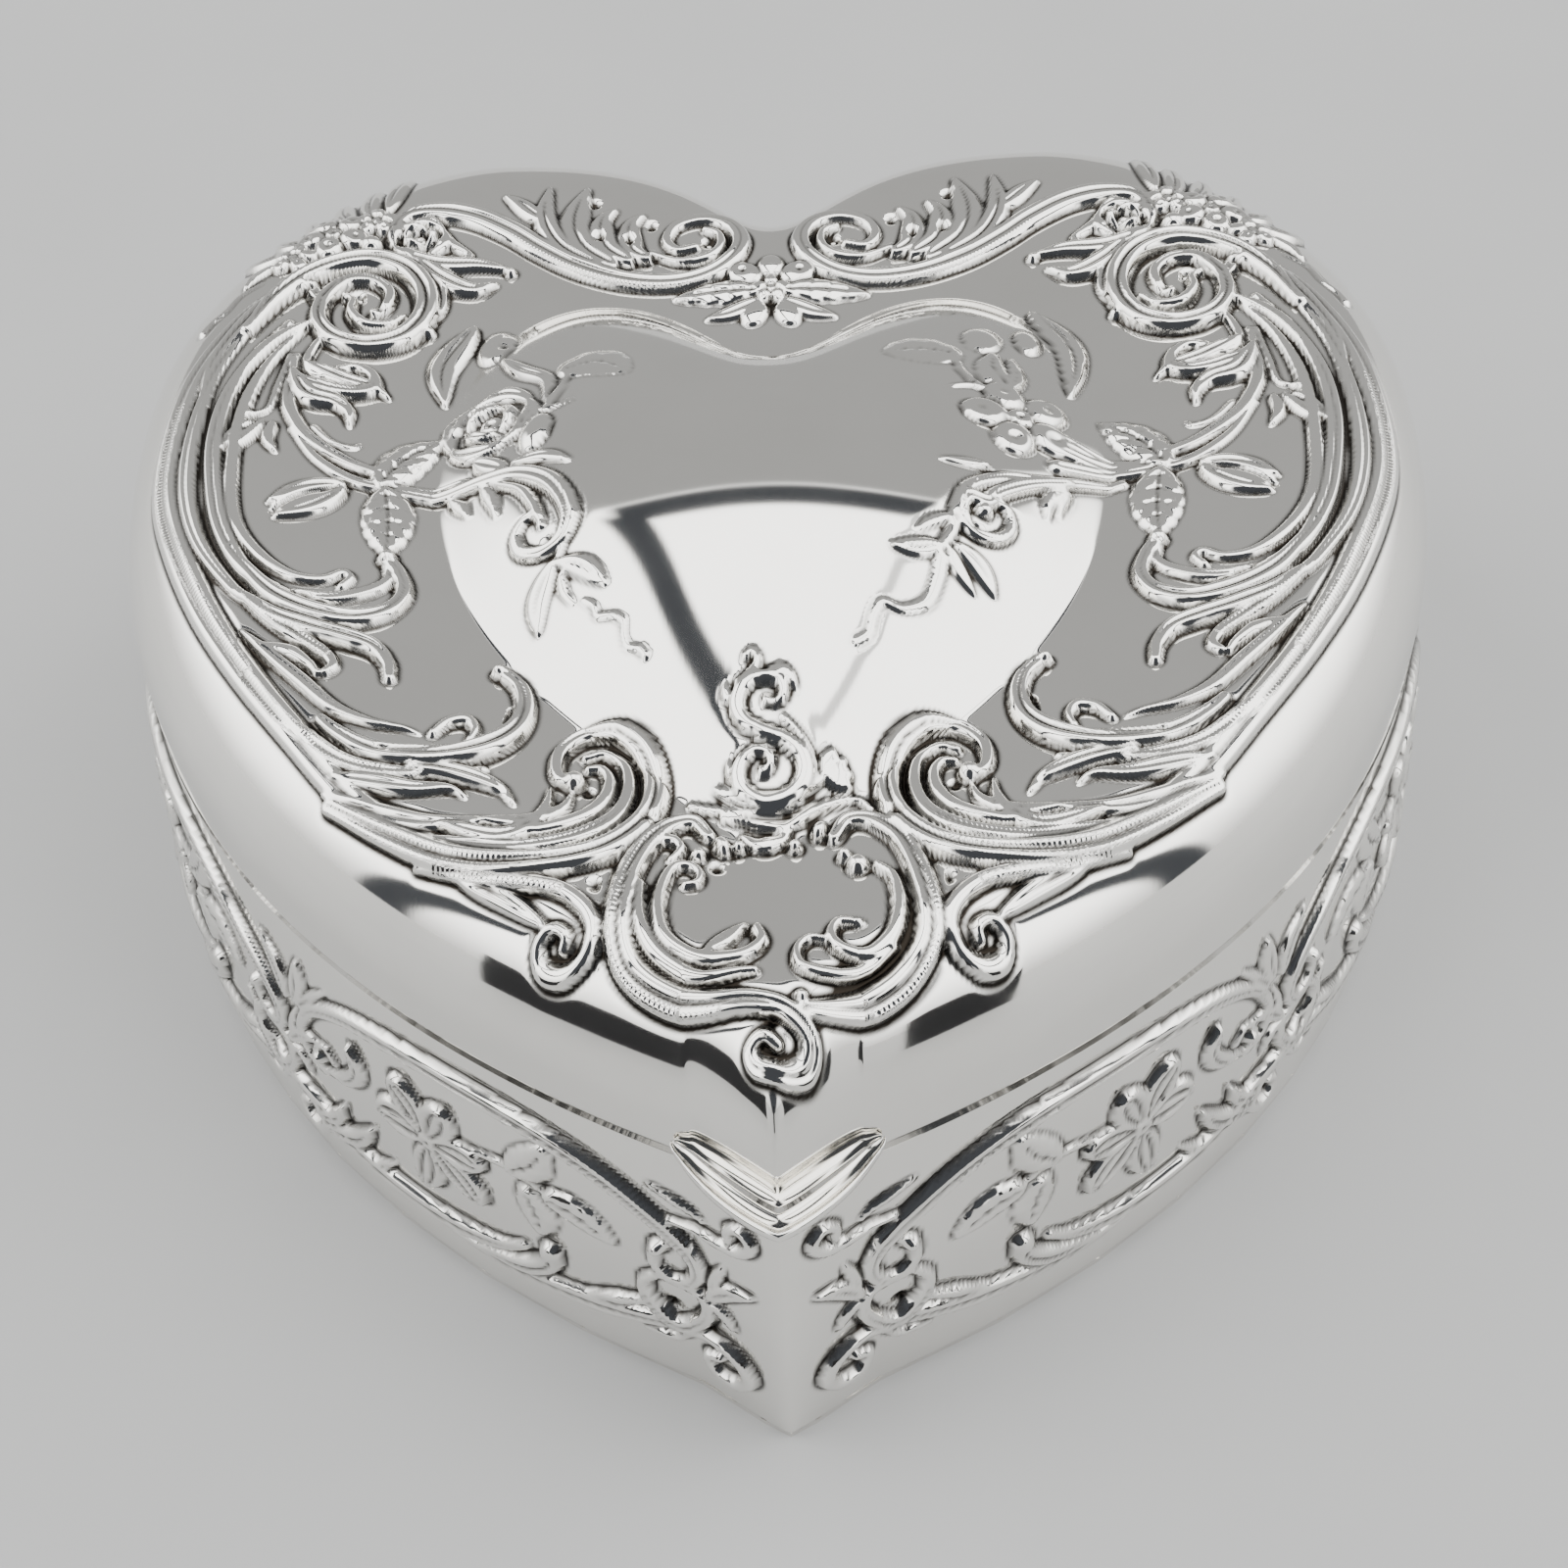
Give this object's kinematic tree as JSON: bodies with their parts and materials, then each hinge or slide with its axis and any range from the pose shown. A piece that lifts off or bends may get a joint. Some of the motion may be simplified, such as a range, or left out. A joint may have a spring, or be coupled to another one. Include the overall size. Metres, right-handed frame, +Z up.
{
  "type": "heart-shaped trinket box",
  "caption": "Heart-shaped silver trinket box with a domed, hinged lid raised with scroll and flower ornament, a fabric-lined inside and a thumb lift at the tip.",
  "frame": {"origin": "centre of the bounding box at the underside of the base", "axes": "+Z up, -Y towards the tip of the heart and the thumb lift, +Y towards the lobes and hinges, +X to the right seen from the tip"},
  "size_m": [0.1684, 0.1724, 0.0746],
  "materials": {
    "lid_silver": "hand-polished silver, oxidised in the chased recesses",
    "wall_silver": "hand-polished silver, oxidised in the chased recesses",
    "lift_silver": "bright polished silver",
    "bezel_silver": "satin silver",
    "base_silver": "worn satin silver",
    "hinge_silver": "satin silver",
    "lining_fabric": "velvet"
  },
  "bodies": {
    "body": {"body_wall": "wall_silver", "base_plate": "base_silver", "body_bezel": "bezel_silver", "floor_pad": "lining_fabric", "wall_lining": "lining_fabric", "left_body_bearing": "hinge_silver", "left_outer_knuckle": "hinge_silver", "left_inner_knuckle": "hinge_silver", "left_hinge_pin": "hinge_silver", "right_body_bearing": "hinge_silver", "right_outer_knuckle": "hinge_silver", "right_inner_knuckle": "hinge_silver", "right_hinge_pin": "hinge_silver"},
    "lid": {"lid_shell": "lid_silver", "thumb_lift": "lift_silver", "lid_lining": "lining_fabric", "left_lid_bearing": "hinge_silver", "left_lid_knuckle": "hinge_silver", "right_lid_bearing": "hinge_silver", "right_lid_knuckle": "hinge_silver"}
  },
  "joints": [
    {"name": "lid_hinge", "type": "hinge", "parent": "body", "child": "lid", "pos_m": [0, 0.08468, 0.0413], "axis": [-1, 0, 0], "range_deg": [0, 100]}
  ]
}
